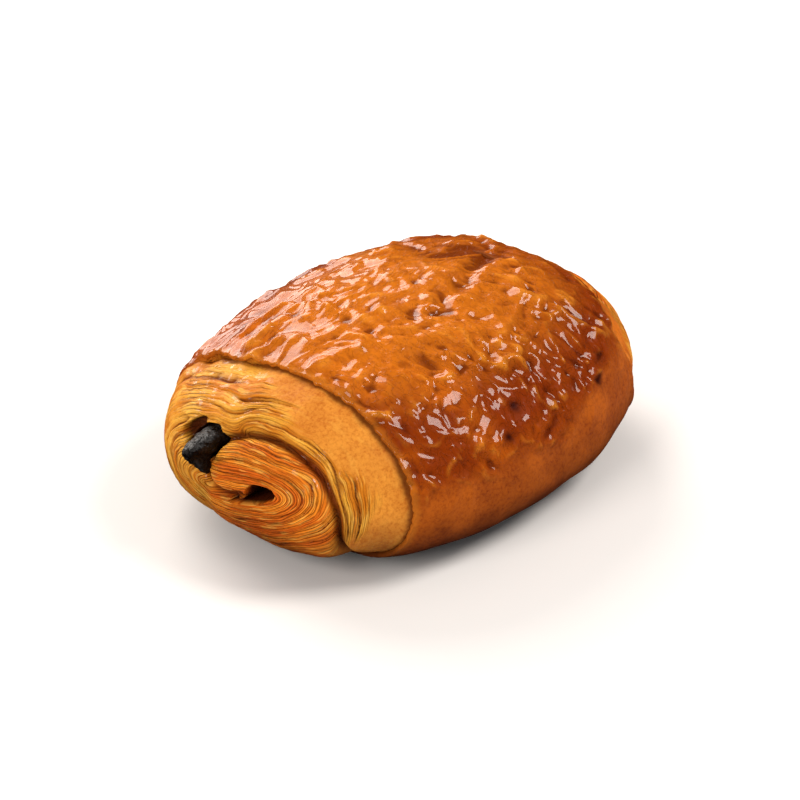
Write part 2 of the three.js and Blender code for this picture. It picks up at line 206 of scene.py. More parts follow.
def top_point(x, y):
    """The point of the form above (x, y), found by halving the range of angles."""
    low, high = np.zeros(len(x)), np.full(len(x), math.pi)
    for _ in range(20):
        angle = (low + high) / 2
        beyond = form_point(2 * x / LENGTH, angle)[:, 1] > y
        low, high = np.where(beyond, angle, low), np.where(beyond, high, angle)
    return form_point(2 * x / LENGTH, (low + high) / 2)


def even_steps(count, low, high, point_at, crowd=None):
    """Values at even steps of length along a curve, closer together where crowd is above 1."""
    t = np.linspace(low, high, 4001)
    step = np.linalg.norm(np.diff(point_at(t), axis=0), axis=1)
    if crowd is not None:
        step = step * crowd((t[1:] + t[:-1]) / 2)
    run = np.concatenate([[0], np.cumsum(step)])
    return np.interp(np.linspace(0, run[-1], count), run, t)


def curve_through(points, steps=10):
    """A smooth curve through a few points, with the direction at each one taken from its neighbours."""
    p = np.array(points, float)
    p = np.concatenate([[2 * p[0] - p[1]], p, [2 * p[-1] - p[-2]]])
    t = np.linspace(0, 1, steps, endpoint=False)[:, None]
    parts = []
    for a, b, c, d in zip(p, p[1:], p[2:], p[3:]):
        bend = (2 * a - 5 * b + 4 * c - d) * t**2
        twist = (3 * b - a - 3 * c + d) * t**3
        parts.append(0.5 * (2 * b + (c - a) * t + bend + twist))
    return np.concatenate([*parts, p[-2:-1]])


def distance_to(curve, points):
    """Distance from each point to the nearest place on a line of many corners."""
    nearest = np.full(len(points), 1e9)
    for start, step in zip(curve, np.diff(curve, axis=0)):
        away = points - start
        share = np.clip(away @ step / (step @ step), 0, 1)
        np.minimum(nearest, ((away - share[:, None] * step) ** 2).sum(axis=1), out=nearest)
    return np.sqrt(nearest)


# %% [markdown]
# Every piece is a rounded, closed form, so a UV sphere would be the usual start. At 100,000 faces its
# operator takes many seconds, and a flat grid's takes a tenth of one. So each piece starts as a grid of rows
# and columns, whose first and last column are carried to the same place. Merging the doubles closes that seam
# and both poles.

# %% A grid, carried to a closed form
def wrapped_grid(name, columns, rows, place):
    """place takes the row, counted from one pole, and the column. It gives millimetres and named values."""
    bm = bmesh.new()
    bmesh.ops.create_grid(bm, x_segments=columns, y_segments=rows, size=1)
    mesh = bpy.data.meshes.new(name)
    bm.to_mesh(mesh)
    flat = np.empty(3 * len(mesh.vertices), np.float32)
    mesh.vertices.foreach_get("co", flat)
    across, along = flat[0::3], flat[1::3]
    column = np.rint((across + 1) / 2 * columns).astype(int) % columns
    row = np.rint((along + 1) / 2 * rows).astype(int)
    points, values = place(row, column)
    for pole in (0, rows):
        points[row == pole] = points[row == pole].mean(axis=0)
    mesh.vertices.foreach_set("co", ((points + SHIFT) * MM).astype(np.float32).ravel())
    for key, numbers in values.items():
        mesh.attributes.new(key, "FLOAT", "POINT").data.foreach_set("value", numbers.astype(np.float32))
    bm.clear()
    bm.from_mesh(mesh)
    bmesh.ops.remove_doubles(bm, verts=bm.verts, dist=1e-7)
    bmesh.ops.recalc_face_normals(bm, faces=bm.faces)
    for face in bm.faces:
        face.smooth = True
    bm.to_mesh(mesh)
    bm.free()
    piece = bpy.data.objects.new(name, mesh)
    bpy.context.scene.collection.objects.link(piece)
    print(name, len(mesh.polygons), "faces,", [round(v / MM, 1) for v in piece.dimensions])
    return piece


# %% [markdown]
# In an end the leaves are nested ovals. The innermost lie round the inner bar, and the outermost follow the
# crust. layer_at says how far out a point lies, from 0 to 1, by halving the range until the oval fits.

# %% The nested layers
BAR_WIDTH, BAR_THICK = 11.5, 6.0
OUTER_SIZE = {"width": BAR_WIDTH, "thick": BAR_THICK}
INNER_SIZE = {"width": 0.72 * BAR_WIDTH, "thick": 0.45 * BAR_THICK}
OUTER_BAR = {**OUTER_SIZE, "y": 11.2, "z": 24.2, "turn": -40, "near": 4.5, "far": -1}
INNER_BAR = {**INNER_SIZE, "y": -5.0, "z": 18.9, "turn": -22, "near": -4, "far": -4}
MIDDLE_OVAL = np.array([0.3, 17.8, 9.5, 0.6, math.radians(-13)])  # round the hollow and the slit beside it
OUTSIDE_OVAL = np.array([0, HEIGHT / 2, WIDTH / 2, HEIGHT / 2, 0])


def layer_at(y, z):
    low, high = np.zeros(len(y)), np.full(len(y), 1.3)
    for _ in range(16):
        k = (low + high) / 2
        oy, oz, a, b, turn = mix(MIDDLE_OVAL[:, None], OUTSIDE_OVAL[:, None], k)
        dy, dz = y - oy, z - oz
        p = (dy * np.cos(turn) + dz * np.sin(turn)) / a
        q = (dz * np.cos(turn) - dy * np.sin(turn)) / b
        outside = p * p + q * q > 1
        low, high = np.where(outside, k, low), np.where(outside, high, k)
    return (low + high) / 2


# %% [markdown]
# One line in an end matters more than all others: the seam between two turns of the sheet. It runs from the
# inner bar's hollow round the tip of the first fold, past the outer bar, over the inner turn and down to the
# underside.

# %% The seam and the inner turn
SEAM = curve_through([
    (-2, 17.6), (3, 16), (7.5, 17.3), (9, 21), (6, 26.8), (0.6, 30.2),
    (-7.5, 31), (-15.3, 29.2), (-21, 25.5), (-24.6, 19), (-25, 12), (-24, 2),
])
OUTER_SEAM = SEAM[50:]  # the part that divides the inner turn from the outer one
print("the seam is", round(float(np.linalg.norm(np.diff(SEAM, axis=0), axis=1).sum())), "mm long")
PLAIN_FROM = {40: 0.95, 65: 0.8, 98: 0.68, 123: 0.56, 150: 0.5, 165: 0.56, 184: 0.68, 230: 0.9}
INNER_TURN = {"y": -8.5, "z": 15, "across": 1.28 * SHEET, "up": 1.22 * SHEET}
ROLL_BULGE = 1.3


def crust_side(y, z):
    """1 on the crust's side of the outer part of the seam, and 0 on the inner turn's side."""
    best, left = np.full(len(y), 1e9), np.zeros(len(y))
    for start, step in zip(OUTER_SEAM, np.diff(OUTER_SEAM, axis=0)):
        dy, dz = y - start[0], z - start[1]
        away = np.hypot(dy, dz)
        to_left = (step[0] * dz - step[1] * dy) / np.hypot(*step)
        left = np.where(away < best, to_left, left)
        best = np.minimum(best, away)
    return smooth(0.5 - left)


def inner_turn(y, z):
    """How much of a point belongs to the inner turn of the roll, from 0 to 1."""
    p, q = (y - INNER_TURN["y"]) / INNER_TURN["across"], (z - INNER_TURN["z"]) / INNER_TURN["up"]
    return smooth((1.15 - np.hypot(p, q)) * 3)


def bar_section(bar, y, z, grow=0.0):
    """How far out of a bar's section a point lies, where 1 is its outline, grown by some millimetres."""
    dy, dz = y - bar["y"], z - bar["z"]
    c, s = math.cos(math.radians(bar["turn"])), math.sin(math.radians(bar["turn"]))
    p = (dy * c + dz * s) / (bar["width"] / 2 + grow)
    q = (dz * c - dy * s) / (bar["thick"] / 2 + grow)
    return (np.abs(p) ** 2.6 + np.abs(q) ** 2.6) ** (1 / 2.6)


# %% [markdown]
# The rim, where the crust stops, wanders a little and is ragged. At the far end it is an arch over the top,
# and low on the sides crust and end flow into each other with no step. The crust and the ends both ask these
# functions where the rim is and how high the step, so they always meet.

# %% The rim
def rim_at(points, side):
    """Distance from the middle to the rim. side is -1 at the near end and 1 at the far one."""
    x, y, z = points.T
    arch = np.maximum(FAR_RIM * (1 - FAR_RIM_ARCH * np.abs(2 * y / WIDTH) ** 4), FAR_RIM_LOW)
    near = NEAR_RIM - LEFT_RIM["back"] * smooth((y - LEFT_RIM["y"]) / LEFT_RIM["fade"])
    flat = points * np.array([0, 1, 1]) + 50.0 * side
    ragged = 0.4 * noise(flat, 2.4, 3) + 0.25 * noise(flat, 0.9, 4)
    return np.where(side < 0, near, arch) - RIM_LEAN * (z - HEIGHT / 2) + 0.7 * noise(flat, 9) + ragged


def step_share(points, side):
    """How much of the step there is at the rim, from 0 to 1."""
    near = 1 - smooth((points[:, 1] - STEP_LOST["y"]) / STEP_LOST["fade"])
    return np.where(side < 0, near, smooth((points[:, 2] - 20) / 9))


def step_under(points, side):
    """How far the open layers lie under the smooth form, because the crust ends above them."""
    past = np.maximum(np.abs(points[:, 0]) - rim_at(points, side), 0)
    step = CRUST_STEP["height"] * (1 - smooth(past / CRUST_STEP["run_out"]))
    at_left = np.exp(-(((points[:, 1] - LEFT_STEP["y"]) / LEFT_STEP["width"]) ** 2))
    prouder = LEFT_STEP["height"] * at_left * (1 - smooth(past / LEFT_STEP["run_out"]))
    return (step + np.where(side < 0, prouder, 0)) * step_share(points, side)


def crest_room(points):
    return CREST_ROOM * smooth((points[:, 2] - 6) / 14)


crown = top_point(np.array([-38.0, 46.0]), np.zeros(2))
near_top, far_top = -rim_at(crown, -1)[0], rim_at(crown, 1)[1]
print("on top the crust runs from", round(float(near_top)), "to", round(float(far_top)), "mm")


# %% [markdown]
# The crust is paper thin and glazed with egg. It dried and shrank over rising dough, so it is wrinkled like
# foil: broad blisters, long sharp crests that wander, and small crumples between them. Towards the near left
# the crests run along the roll, and down the right side they run down the slope. The largest folds are placed
# one by one, as seen from above, where the solid has them.

# %% Relief of the crust
FOLDS = [
    (-1.7, 2.2, [(32, 1.7), (22, -2.2), (13, -5.7), (3, -8.7), (-1, -8.7)]),
    (1.3, 2.0, [(6, -10.5), (8.5, -14), (8.2, -18), (6.4, -23), (4, -27), (1, -30), (-4, -30.5)]),
    (0.9, 1.6, [(15, -8.5), (20, -15.3), (22, -20), (24, -24), (25, -29), (30, -31.6)]),
    (1.0, 1.4, [(-34, 23.7), (-27, 23), (-20.6, 23), (-17, 21)]),
    (1.0, 1.4, [(-34.7, 15.3), (-27, 14.7), (-22, 16.3), (-17, 16.6), (-16, 9.4), (-15.3, 3.3)]),
    (0.9, 1.3, [(-37, 11.8), (-28.4, 8.3), (-28.4, 1.8)]),
    (0.9, 1.3, [(-35.5, -3.2), (-31.4, -3.7), (-27.2, -5.4), (-23.5, -7.3)]),
    (1.0, 1.4, [(-26, 2.5), (-19.3, 0.8), (-11.3, -1.6), (-7.5, -3)]),
    (-0.9, 1.0, [(3.7, -30.7), (4.4, -34.5), (4.7, -37.5), (5.4, -39.7)]),
    (-0.9, 8, [(-32, 26), (-24, 25), (-15, 27)]),
    (-1.5, 8, [(24, 10), (34, 5.5)]),
]


BLISTER_HEIGHT, TENT_HEIGHT = 0.75, 0.8
WRINKLE_HEIGHT, SMALL_WRINKLE_HEIGHT, FOIL_HEIGHT = 0.45, 0.18, 0.7


def fold_relief(points):
    bent = warped(points, 4, 0.8, seed=81)
    total = np.zeros(len(points))
    for height, width, at in FOLDS:
        line = curve_through(at)
        away = distance_to(top_point(*line.T), bent) / width
        total += height * np.exp(-(away**1.5 if height > 0 else away**2))
    return total


def glaze_at(points):
    """1 under the glossy film on top, and 0 on the plain lower sides."""
    x, y, z = points.T
    edge = 18.5 + 6 * smooth((x - 2) / 26) + 2.4 * noise(points, 11, 31) + 1.2 * noise(points, 3.5, 32)
    return smooth((z - edge) / 6)


def crust_relief(points):
    """Height over the mean surface, and the values that the material needs."""
    glaze = glaze_at(points)
    upper = smooth((points[:, 2] - 10) / 16)
    p = warped(points, 10, 3.2, seed=41)
    down_the_slope = smooth((6 - points[:, 1]) / 16)
    large = mix(wrinkles(p, (19, 7, 9), 4.5, 46), wrinkles(p, (7, 15, 11), 4.5, 47), down_the_slope)
    tents = mix(crests(p, (17, 7, 9), 48), crests(p, (7.5, 13, 10), 49), down_the_slope)
    p = warped(points, 4, 1.4, seed=51)
    small = mix(wrinkles(p, (8, 3.2, 4.5), 3.6, 54), wrinkles(p, (3.4, 6.5, 5.5), 3.6, 55), down_the_slope)
    foil = crumpled_foil(warped(points, 5, 0.8, seed=61), 4.2, 64)
    crumpled = smooth(0.35 + 0.5 * down_the_slope + 0.9 * noise(points, 13, 66))
    large = large * mix(1, 0.8, down_the_slope) * smooth(0.75 + 1.1 * noise(points, 12, 67))
    folds = fold_relief(points)
    fine = WRINKLE_HEIGHT * large + SMALL_WRINKLE_HEIGHT * small + FOIL_HEIGHT * mix(0.15, 1, crumpled) * foil
    height = (
        BLISTER_HEIGHT * noise(points, (15, 13, 12), 44)
        + upper * TENT_HEIGHT * (tents - 0.35)
        + upper * smooth(glaze * 2) * fine
        + folds
    )
    crest = 0.5 * large + 0.2 * small + 0.25 * tents + 0.25 * folds + 0.6 * crumpled * foil
    return height, glaze, crest, down_the_slope


# %% [markdown]
# An end's relief has four parts. The inner turn bulges. The seam is a deep crease. Bundles of leaves swell
# between dark gaps, and so do single leaves on a smaller scale. A sine of the leaf's number makes the gaps,
# so they run on without a break as real leaves do. Noise that is stretched along the leaves makes some of
# them thick, some thin, and some baked together.

# %% Relief of an end
LEAVES = 40  # from the middle of the spiral to the crust
LEAVES_IN_BUNDLE = 3.4
BUNDLE_HEIGHT = {"outer": 1.3, "inner": 0.5}
LEAF_HEIGHT = {"outer": 0.35, "inner": 0.25}
CREASE = {"depth": 2.4, "half_width": 1.0}


def leafy_points(points, leaf, stretch):
    """Points for reading noise in streaks: one leaf wide, and as long as stretch says."""
    x, y, z = points.T
    return np.stack([leaf, y / stretch, z / stretch + 0.15 * x / stretch], axis=1)


def swells(phase):
    """Round swells with a thin gap at every whole number, from 0 in the gap to 1."""
    return np.abs(np.sin(math.pi * phase)) ** 0.35


def leaf_number(points, layer, round_it):
    """Which leaf a point lies on. Over the seam, the leaves run from the seam to the crust."""
    from_seam = distance_to(OUTER_SEAM, points[:, 1:])
    share = from_seam / (from_seam + 22 * np.maximum(1 - layer, 0.02))
    over_seam = smooth((round_it - 55) / 40) * smooth((242 - round_it) / 30) * crust_side(*points[:, 1:].T)
    return LEAVES * mix(layer, 0.4 + 0.6 * share, over_seam)


def end_relief(points, side):
    y, z = points[:, 1], points[:, 2]
    flat = points * np.array([0.2, 1, 1])
    layer = layer_at(y, z)
    round_it = np.degrees(np.arctan2(z - END_HEIGHT, y)) % 360
    wander = 0.9 * noise(flat, 11, 1) + 0.4 * noise(flat, 4.5, 2) + 0.14 * noise(flat, 1.8, 3)
    leaf = leaf_number(points, layer, round_it) + wander
    plain_from = np.interp(round_it, list(PLAIN_FROM), list(PLAIN_FROM.values()))
    streak = noise(leafy_points(points, leaf / 1.6, 14), 1, 5)
    plain = smooth((layer - plain_from + 0.03 * noise(flat, 7, 4) + 0.05 * streak) / 0.06)
    inner = inner_turn(y, z)
    uneven = noise(leafy_points(points, leaf / 4, 18), 1, 11)
    bundle = 1 - (1 - swells(leaf / LEAVES_IN_BUNDLE + 0.8 * uneven)) * smooth(0.75 + uneven)
    uneven = noise(leafy_points(points, leaf / 2, 12), 1, 12)
    single = 1 - (1 - swells(leaf / 1.5 + 0.5 * uneven)) * smooth(0.7 + uneven)
    seam = np.exp(-((distance_to(SEAM, points[:, 1:]) / CREASE["half_width"]) ** 2))
    leafy = 1 - 0.96 * plain
    lined = smooth(0.65 + inner + 0.9 * noise(flat, 8, 14))
    bundle_height = mix(BUNDLE_HEIGHT["outer"], BUNDLE_HEIGHT["inner"], inner)
    leaf_height = mix(LEAF_HEIGHT["outer"], LEAF_HEIGHT["inner"], inner)
    height = (
        leafy * (bundle_height * (bundle - 0.9) + leaf_height * (single - 0.9))
        + ROLL_BULGE * inner
        - CREASE["depth"] * seam
        + 0.45 * noise(flat, 8, 6)
        + 0.05 * noise(points, 1.0, 8)
    )
    gap_brown_and_shade = leafy * np.clip(1.1 * (1 - bundle) + 0.6 * (1 - single), 0, 1)
    values = {"leaf": leaf, "plain": plain, "inner": inner, "lined": lined, "gap_brown_and_shade": np.maximum(gap_brown_and_shade, seam)}
    return height, values


# %% [markdown]
# The layers sprang apart in the oven round both bars. The outer bar fills its pocket but for a notch on its
# upper left. The inner bar has drawn back and left a hollow that narrows to a slit. Both hollows are
# pushed into the end along the roll, and their insides are painted dark as shade.

# %% An end
POCKET_DEPTH = 9.0
NOTCH = {"y": 4.2, "z": 1.6, "deep": 2.5}  # how far from the outer bar's middle, and how deep
HOLLOW = {"y": -4.6, "z": 19.0, "turn": math.radians(-20), "half_length": 7.0, "half_height": 2.2}
HIDDEN_ROWS = 6
END_INNER = 0.6  # share of the half length that an end reaches back to, under the crust
DIP = 0.8  # how far either surface sinks under the other past the rim
RIM_SHADE = 0.7  # width of the dark line under the crust's lip


def pocket_at(y, z):
    """How deep a point lies in a pocket, as a share of the full depth."""
    edge = 0.05 * noise(np.stack([y, z, 0 * y], axis=1), 2.2, 21)
    outer = smooth((1.1 - bar_section(OUTER_BAR, y, z, 0.3) + edge) / 0.2)
    notch = smooth((1.1 - bar_section(OUTER_BAR, y - NOTCH["y"], z - NOTCH["z"], -1.2) + edge) / 0.4)
    dy, dz = y - HOLLOW["y"], z - HOLLOW["z"]
    c, s = math.cos(HOLLOW["turn"]), math.sin(HOLLOW["turn"])
    along, across = dy * c + dz * s, dz * c - dy * s
    high = HOLLOW["half_height"] * (1 - 0.8 * smooth((along + 1.5) / 5))  # its roof comes down to the left
    across = across + HOLLOW["half_height"] - high
    hollow = smooth((1.1 - np.hypot(along / HOLLOW["half_length"], across / high) + edge) / 0.2)
    return np.maximum(np.maximum(outer, hollow), notch * NOTCH["deep"] / POCKET_DEPTH)


def end_piece(name, side, columns=480, rows=205):
    """An end as a closed cap, from its foremost point to under the crust. side is -1 near, 1 far."""
    shown = rows - HIDDEN_ROWS
    stations = even_steps(shown + 1, 1, END_INNER, lambda t: form_point(side * t, 0 * t + 0.4))
    angles = even_steps(columns + 1, 0, 2 * math.pi, lambda t: form_point(0 * t + 0.8 * side, t))[:-1]

    def place(row, column):
        s = side * stations[np.minimum(row, shown)]
        angle = angles[column]
        points = form_point(s, angle)
        height, values = end_relief(points, side)
        share = step_share(points, side)
        # where there is no step, the leaves next to the crust are baked into one skin with it
        past = np.maximum(np.abs(points[:, 0]) - rim_at(points, side), 0)
        baked_together = (1 - share) * (1 - smooth((past - 1) / 6))
        values["plain"] = np.maximum(values["plain"], baked_together)
        values["gap_brown_and_shade"] = values["gap_brown_and_shade"] * (1 - baked_together)
        smooth_side = crust_relief(points)[0] - crest_room(points)
        height = mix(smooth_side, height, np.maximum(share, 1 - values["plain"])) - step_under(points, side)
        height -= DIP * smooth((rim_at(points, side) - np.abs(points[:, 0])) / 2.5)
        lift = smooth((points[:, 2] - 0.5) / 4)
        points += form_normal(s, angle) * (height * lift)[:, None]
        pocket = pocket_at(points[:, 1], points[:, 2])
        points[:, 0] -= side * POCKET_DEPTH * pocket
        closing = np.clip((row - shown) / HIDDEN_ROWS, 0, 1)[:, None]
        centre = np.array([side * END_INNER * LENGTH / 2, 0, END_HEIGHT])
        points = mix(points, centre, closing)
        points[:, 2] = np.maximum(points[:, 2], 0.0)
        values["pocket"] = pocket
        past = np.maximum(np.abs(points[:, 0]) - rim_at(points, side), 0)
        values["shade"] = share * np.exp(-((past / RIM_SHADE) ** 2))
        values["at_far_end"] = 0 * past + (side > 0)
        return points, values

    return wrapped_grid(name, columns, rows, place)


near_end = end_piece("laminated_end_near", -1)
far_end = end_piece("laminated_end_far", 1)

# %% [markdown]
# The crust is a shell that ends in a thin lip at both rims. The lip curls over the open layers and goes back
# underneath. Where there is no step, as low on the sides, the lip sinks into the end instead.

# %% The crust
LIP_ROWS, TUCK_ROWS = 7, 4
LIP_OVERHANG, LIP_THICK = 0.5, 1.4
SINK_LENGTH = 2.5
CARAMEL_SPOTS = [
    (-6.7, -37.2, 30.9), (-11.9, -40, 26.8), (24.6, -35.6, 29.4), (21.1, -38.8, 26.2), (17, 33, 32),
]


def crust_piece(name, columns=432, rows=228):
    def crowd(angle):
        """Fewer columns on the underside, which is plain."""
        return np.where(np.sin(angle) > -0.3, 1, 0.35)

    angles = even_steps(columns + 1, 0, 2 * math.pi, lambda t: form_point(0 * t, t), crowd)[:-1]
    past_rim = LIP_ROWS + TUCK_ROWS
    body = rows - 2 * past_rim

    def place(row, column):
        angle = angles[column]
        ring = np.clip(row - past_rim, 0, body) / body
        near_x = -rim_at(form_point(0 * angle - 0.69, angle), -1.0)
        far_x = rim_at(form_point(0 * angle + 0.76, angle), 1.0)
        x = mix(near_x, far_x, ring)
        s = x / (LENGTH / 2)
        points = form_point(s, angle)
        normal = form_normal(s, angle)
        height, glaze, crest, slope = crust_relief(points)
        side = np.where(row < rows / 2, -1.0, 1.0)
        rim = 1 - smooth(np.minimum(ring, 1 - ring) * (far_x - near_x) / 1.5)
        share = step_share(points, side)
        past = np.clip(np.maximum(past_rim - row, row - (rows - past_rim)), 0, past_rim)
        over = np.clip(past / LIP_ROWS, 0, 1)
        turn = over * math.pi
        curl = LIP_OVERHANG * np.sin(turn) * (1 + 0.6 * noise(points, 2, 71))
        outward = mix(SINK_LENGTH * over, curl, share)
        drop = mix(DIP * over**2, LIP_THICK * (1 - np.cos(turn)) / 2, share)
        height = height * (1 - 0.3 * rim * share) - crest_room(points)
        lift = smooth((points[:, 2] - 0.3) / 3)
        points += normal * ((height - drop) * lift)[:, None]
        points[:, 0] += side * outward
        inward = np.clip((past - LIP_ROWS) / TUCK_ROWS, 0, 1)[:, None]
        centre = np.stack([x, 0 * x, 0 * x + END_HEIGHT], axis=1)
        points = mix(points, centre, inward)
        points[:, 2] = np.maximum(points[:, 2], 0.0)
        spotted = warped(points, 2, 0.6, seed=75)
        away = np.min([np.linalg.norm(spotted - spot, axis=1) for spot in np.array(CARAMEL_SPOTS)], axis=0)
        caramel = np.exp(-((away / 1.3) ** 2))
        lip = np.maximum(0.5 * rim, over) * share
        return points, {"glaze": glaze, "crest": crest, "slope": slope, "lip": lip, "caramel": caramel}

    return wrapped_grid(name, columns, rows, place)


crust = crust_piece("glazed_crust")

# %% [markdown]
# The chocolate has melted and set again: a lumpy black bar. At the near end it sticks out of the roll, and
# some has run down into the crease below and set as a lobe.

# %% Chocolate bars
def end_reach(bar):
    span = math.hypot(bar["y"] / (WIDTH / 2), (bar["z"] - END_HEIGHT) / (HEIGHT - END_HEIGHT))
    return LENGTH / 2 * (1 - span ** NEAR_END["across"]) ** (1 / NEAR_END["along"])


BLUNT = 9  # more gives a squarer tip
LOBE = {"at": 3.9, "width": 2.9, "drop": 7.4, "from_tip": 3.2, "length": 2.6}


def bar_piece(name, bar, columns, rows, lump, lobe=0.0):
    near, far = end_reach(bar) + bar["near"], end_reach(bar) + bar["far"]
    c, s = math.cos(math.radians(bar["turn"])), math.sin(math.radians(bar["turn"]))

    def place(row, column):
        t = -np.cos(math.pi * row / rows)
        size = np.maximum(0, 1 - np.abs(t) ** BLUNT) ** (1 / 2.4)
        angle = 2 * math.pi * column / columns
        p = bar["width"] / 2 * power(np.cos(angle), 0.9) * size
        q = bar["thick"] / 2 * power(np.sin(angle), 0.9) * size
        x = t * np.where(t < 0, near, far)
        by_tip = np.exp(-(((x + near - LOBE["from_tip"]) / LOBE["length"]) ** 2))
        below = np.exp(-(((p - LOBE["at"]) / LOBE["width"]) ** 4)) * smooth(-2 * q / bar["thick"])
        q = q - lobe * LOBE["drop"] * by_tip * below
        points = np.stack([x, bar["y"] + p * c - q * s, bar["z"] + p * s + q * c], axis=1)
        outward = np.stack([power(t, 9), (p * c - q * s) / 3, (p * s + q * c) / 3], axis=1)
        outward /= np.maximum(np.linalg.norm(outward, axis=1, keepdims=True), 1e-6)
        bump = lump * (noise(points, 3.6, 91) + 0.45 * noise(points, 1.7, 92) + 0.3 * noise(points, 0.8, 93))
        return points + outward * bump[:, None], {}

    return wrapped_grid(name, columns, rows, place)


outer_bar = bar_piece("chocolate_outer", OUTER_BAR, 130, 500, 0.6, lobe=1.0)
inner_bar = bar_piece("chocolate_inner", INNER_BAR, 90, 240, 0.3)

# %% [markdown]
# Materials are trees of nodes. These helpers add a node, set its values and link its inputs in one line, so
# that each finish below reads as a recipe.

# %% Helpers for materials
def add(tree, kind, inputs=None, **settings):
    node = tree.nodes.new(kind)
    for key, value in settings.items():
        setattr(node, key, value)
    for socket, value in (inputs or {}).items():
        if isinstance(value, bpy.types.NodeSocket):
            tree.links.new(value, node.inputs[socket])
        else:
            node.inputs[socket].default_value = value
    return node


def maths(tree, operation, a, b=0.0, clamp=False):
    return add(tree, "ShaderNodeMath", {0: a, 1: b}, operation=operation, use_clamp=clamp).outputs[0]


def blend(tree, share, a, b):
    """Colour a where share is 0 and colour b where it is 1."""
    return add(tree, "ShaderNodeMix", {0: share, 6: a, 7: b}, data_type="RGBA").outputs[2]


def between(tree, value, low, high):
    """0 below low, 1 above high, and a smooth way between."""
    kind = "ShaderNodeMapRange"
    return add(tree, kind, {0: value, 1: low, 2: high}, interpolation_type="SMOOTHSTEP").outputs[0]


def attribute(tree, name):
    return add(tree, "ShaderNodeAttribute", attribute_name=name).outputs["Fac"]


def object_place(tree):
    return add(tree, "ShaderNodeTexCoord").outputs["Object"]


def grain(tree, size_mm, place=None, detail=3.0, roughness=0.5):
    place = place or object_place(tree)
    inputs = {"Vector": place, "Scale": 1000 / size_mm, "Detail": detail, "Roughness": roughness}
    return add(tree, "ShaderNodeTexNoise", inputs).outputs["Fac"]


def bump(tree, height, depth_mm, below=None):
    inputs = {"Height": height, "Distance": depth_mm * MM}
    if below:
        inputs["Normal"] = below
    return add(tree, "ShaderNodeBump", inputs).outputs["Normal"]


def tone(r, g, b):
    """A colour given from 0 to 255, turned into the linear light that Blender works in."""
    def linear(v):
        return v / 3294.6 if v < 10.3 else ((v / 255 + 0.055) / 1.055) ** 2.4

    return (linear(r), linear(g), linear(b), 1)


def new_finish(name):
    finish = bpy.data.materials.new(name)
    finish.use_nodes = True
    tree = finish.node_tree
    return finish, tree, tree.nodes["Principled BSDF"]


# %% [markdown]
# Two effects show on both the crust and the ends. Dough that was baked without glaze is mottled, with darker
# freckles. And all of it is painted darker towards the bottom. Each is a node group, made once.

# %% Shared effects
def effect(name, inputs, outputs):
    group = bpy.data.node_groups.new(name, "ShaderNodeTree")
    for key, kind, default in inputs:
        socket = group.interface.new_socket(name=key, in_out="INPUT", socket_type=kind)
        socket.default_value = default
    for key, kind in outputs:
        group.interface.new_socket(name=key, in_out="OUTPUT", socket_type=kind)
    return group, group.nodes.new("NodeGroupInput").outputs, group.nodes.new("NodeGroupOutput").inputs


baked_dough, given, result = effect(
    "baked_dough",
    [("Pale", "NodeSocketColor", tone(214, 140, 60)), ("Brown", "NodeSocketColor", tone(140, 62, 14))],
    [("Color", "NodeSocketColor"), ("Freckles", "NodeSocketFloat")],
)
patches = between(baked_dough, grain(baked_dough, 9, detail=4), 0.36, 0.66)
freckles = between(baked_dough, grain(baked_dough, 0.8, detail=4, roughness=0.7), 0.4, 0.8)
share = maths(baked_dough, "MULTIPLY", freckles, 0.6)
share = maths(baked_dough, "ADD", share, maths(baked_dough, "MULTIPLY", patches, 0.4), clamp=True)
baked_dough.links.new(blend(baked_dough, share, given["Pale"], given["Brown"]), result["Color"])
baked_dough.links.new(freckles, result["Freckles"])

darker_towards_bottom, given, result = effect(
    "darker_towards_bottom",
    [("Color", "NodeSocketColor", (1, 1, 1, 1)), ("Height", "NodeSocketFloat", 20.0)],
    [("Color", "NodeSocketColor")],
)
place = add(darker_towards_bottom, "ShaderNodeSeparateXYZ", {0: object_place(darker_towards_bottom)})
wobble = maths(darker_towards_bottom, "MULTIPLY", maths(darker_towards_bottom, "SUBTRACT", grain(darker_towards_bottom, 7), 0.5), 8.0)
height = maths(darker_towards_bottom, "ADD", maths(darker_towards_bottom, "DIVIDE", place.outputs["Z"], MM), wobble)
# the colour is painted darker over the lowest millimetres, as far up as Height
share = maths(darker_towards_bottom, "SUBTRACT", 1.0, between(darker_towards_bottom, height, 0.0, given["Height"]))
tint = {0: 1.0, 6: given["Color"], 7: tone(70, 20, 6)}
browner = add(darker_towards_bottom, "ShaderNodeMix", tint, data_type="RGBA", blend_type="MULTIPLY")
darker_towards_bottom.links.new(blend(darker_towards_bottom, share, given["Color"], browner.outputs[2]), result["Color"])


print("shared effects:", baked_dough.name, "and", darker_towards_bottom.name)


def use_effect(tree, group, inputs=None):
    node = add(tree, "ShaderNodeGroup", node_tree=group)
    for key, value in (inputs or {}).items():
        if isinstance(value, bpy.types.NodeSocket):
            tree.links.new(value, node.inputs[key])
        else:
            node.inputs[key].default_value = value
    return node


# %% [markdown]
# Egg glaze bakes to a clear amber film. It pools deep brown in the hollows and stays thin and golden on the
# crests, and a coat over the base colour gives its gloss. On top of that the hollows are painted darker as
# shade and the crests lighter as highlight. The top is painted paler, partly for thinner film and partly as
# painted light, and the far half darker, partly for thicker film and partly as painted shade. Low on the
# sides there is no film, only mottled dough.

